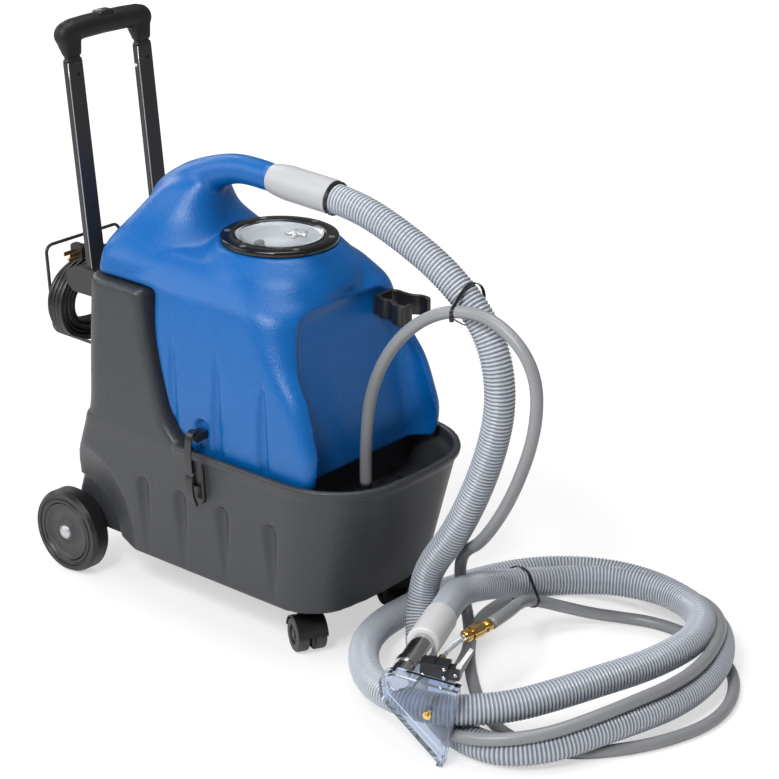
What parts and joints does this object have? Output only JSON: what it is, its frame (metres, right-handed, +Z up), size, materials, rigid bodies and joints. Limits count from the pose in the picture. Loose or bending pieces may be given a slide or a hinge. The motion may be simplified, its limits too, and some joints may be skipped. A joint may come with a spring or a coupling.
{
  "type": "carpet cleaner machine",
  "caption": "Portable carpet spotter on wheels and casters: tub base, recovery tank with arch duct, telescopic handle, coiled suction and solution hoses, clear hand tool",
  "frame": {"origin": "middle of the machine's bounding box at floor level, hoses, lead and hand tool left out", "axes": "+X forwards to the casters, +Y to the machine's left, +Z up"},
  "size_m": [1.1025, 0.6145, 0.819],
  "materials": {
    "blue_plastic": "rotomoulded blue plastic with a fine pebble grain",
    "charcoal_plastic": "rotomoulded charcoal plastic with a fine pebble grain",
    "white_plastic": "natural white moulded plastic",
    "black_plastic": "smooth black moulded plastic",
    "grey_plastic": "grey moulded plastic",
    "rubber": "black rubber",
    "clear_plastic": "clear moulded plastic",
    "black_metal": "black powder coat",
    "zinc": "zinc plated steel",
    "steel": "polished stainless steel",
    "brass": "machined brass",
    "light_grey_plastic": "light grey moulded cuff",
    "hose_grey": "blue-grey corrugated hose",
    "line_grey": "grey reinforced hose",
    "lead_black": "black flexible lead",
    "white_trigger": "white moulded plastic",
    "screw_black": "black oxide screws"
  },
  "bodies": {
    "machine": {"recovery_tank": "blue_plastic", "base_tub": "charcoal_plastic", "solution_tank": "charcoal_plastic", "float_cage": "white_plastic", "standpipe": "white_plastic", "tank_fittings": "black_plastic", "lid_ring": "black_plastic", "rail_blocks": "black_plastic", "rail_collars": "black_plastic", "tool_clip": "black_plastic", "switch_plate": "black_plastic", "lead_relief": "black_plastic", "valve_block": "black_plastic", "tool_head": "clear_plastic", "feed_hose": "clear_plastic", "rails": "black_metal", "axle": "zinc", "axle_beam": "zinc", "hub_nuts": "zinc", "latch_brackets": "zinc", "latch_keepers": "zinc", "cord_bail": "zinc", "plug_blades": "zinc", "vac_motor": "zinc", "pump": "zinc", "tool_tube": "steel", "tool_clamp": "steel", "brass_fittings": "brass", "hose_cuff": "light_grey_plastic", "tool_cuff": "light_grey_plastic", "vac_hose": "hose_grey", "hose_coil": "hose_grey", "sol_hose": "line_grey", "sol_coil": "line_grey", "power_lead": "lead_black", "lead_hank": "lead_black", "plug_body": "lead_black", "lid_screws": "screw_black"},
    "wheel_near": {"tyre_near": "rubber", "rim_near": "grey_plastic"},
    "wheel_far": {"tyre_far": "rubber", "rim_far": "grey_plastic"},
    "caster_near": {"caster_hood_near": "black_plastic"},
    "caster_far": {"caster_hood_far": "black_plastic"},
    "caster_rollers_near": {"caster_wheels_near": "grey_plastic"},
    "caster_rollers_far": {"caster_wheels_far": "grey_plastic"},
    "lever_near": {"latch_lever_near": "black_plastic"},
    "lever_far": {"latch_lever_far": "black_plastic"},
    "strap_near": {"latch_strap_near": "black_plastic"},
    "strap_far": {"latch_strap_far": "black_plastic"},
    "handle": {"inner_tubes": "black_metal", "grip": "black_plastic"},
    "button": {"release_button": "grey_plastic"},
    "lid": {"lid_seal": "rubber"},
    "window": {"lid_window": "clear_plastic"},
    "ball": {"float_ball": "white_plastic"},
    "vac_rocker": {"rocker_vac": "black_plastic"},
    "pump_rocker": {"rocker_pump": "black_plastic"},
    "trigger": {"trigger": "white_trigger"},
    "sleeve": {"coupler_sleeve": "brass"}
  },
  "joints": [
    {"name": "wheel_near_spin", "type": "hinge", "parent": "machine", "child": "wheel_near", "pos_m": [-0.2271, -0.135, 0.0635], "axis": [0, 1, 0], "continuous": true},
    {"name": "wheel_far_spin", "type": "hinge", "parent": "machine", "child": "wheel_far", "pos_m": [-0.2271, 0.135, 0.0635], "axis": [0, 1, 0], "continuous": true},
    {"name": "caster_near_swivel", "type": "hinge", "parent": "machine", "child": "caster_near", "pos_m": [0.1999, -0.095, 0.07], "axis": [0, 0, 1], "continuous": true},
    {"name": "caster_near_roll", "type": "hinge", "parent": "caster_near", "child": "caster_rollers_near", "pos_m": [0.2078, -0.09931, 0.025], "axis": [0.4787, 0.878, 0], "continuous": true},
    {"name": "latch_near_lever", "type": "hinge", "parent": "machine", "child": "lever_near", "pos_m": [0.0544, -0.1595, 0.244], "axis": [-1, 0, 0], "range_deg": [0, 100]},
    {"name": "latch_near_strap", "type": "hinge", "parent": "lever_near", "child": "strap_near", "pos_m": [0.0544, -0.165, 0.232], "axis": [-1, 0, 0], "range_deg": [-100, 0]},
    {"name": "caster_far_swivel", "type": "hinge", "parent": "machine", "child": "caster_far", "pos_m": [0.1999, 0.095, 0.07], "axis": [0, 0, 1], "continuous": true},
    {"name": "caster_far_roll", "type": "hinge", "parent": "caster_far", "child": "caster_rollers_far", "pos_m": [0.2078, 0.09069, 0.025], "axis": [0.4787, 0.878, 0], "continuous": true},
    {"name": "latch_far_lever", "type": "hinge", "parent": "machine", "child": "lever_far", "pos_m": [0.0544, 0.1595, 0.244], "axis": [1, 0, 0], "range_deg": [0, 100]},
    {"name": "latch_far_strap", "type": "hinge", "parent": "lever_far", "child": "strap_far", "pos_m": [0.0544, 0.165, 0.232], "axis": [1, 0, 0], "range_deg": [-100, 0]},
    {"name": "handle_slide", "type": "slide", "parent": "machine", "child": "handle", "axis": [-0.1066, 0, 0.9943], "range_m": [0, 0.25]},
    {"name": "release_press", "type": "slide", "parent": "handle", "child": "button", "axis": [0, 0, -1], "range_m": [0, 0.003], "stiffness_N_per_m": 500},
    {"name": "lid_lift", "type": "slide", "parent": "machine", "child": "lid", "axis": [0, 0, 1], "range_m": [0, 0.03]},
    {"name": "window_twist", "type": "hinge", "parent": "lid", "child": "window", "pos_m": [0.0719, 0, 0.558], "axis": [0, 0, 1], "range_deg": [-90, 0]},
    {"name": "float_rise", "type": "slide", "parent": "machine", "child": "ball", "axis": [0, 0, 1], "range_m": [0, 0.022]},
    {"name": "vac_rocker_tip", "type": "hinge", "parent": "machine", "child": "vac_rocker", "pos_m": [-0.1761, -0.013, 0.4435], "axis": [0, 1, 0], "range_deg": [-7, 7]},
    {"name": "pump_rocker_tip", "type": "hinge", "parent": "machine", "child": "pump_rocker", "pos_m": [-0.1761, 0.013, 0.4435], "axis": [0, 1, 0], "range_deg": [-7, 7]},
    {"name": "trigger_squeeze", "type": "hinge", "parent": "machine", "child": "trigger", "pos_m": [0.5511, -0.19582, 0.1325], "axis": [0.3654, -0.9309, 0], "range_deg": [0, 10], "stiffness_Nm_per_rad": 0.4},
    {"name": "sleeve_slide", "type": "slide", "parent": "machine", "child": "sleeve", "axis": [0.1359, 0.9893, 0.0523], "range_m": [0, 0.005], "stiffness_N_per_m": 400}
  ],
  "couplings": [
    {"joint": "latch_near_strap", "follows": "latch_near_lever", "ratio": -1},
    {"joint": "latch_far_strap", "follows": "latch_far_lever", "ratio": -1}
  ]
}
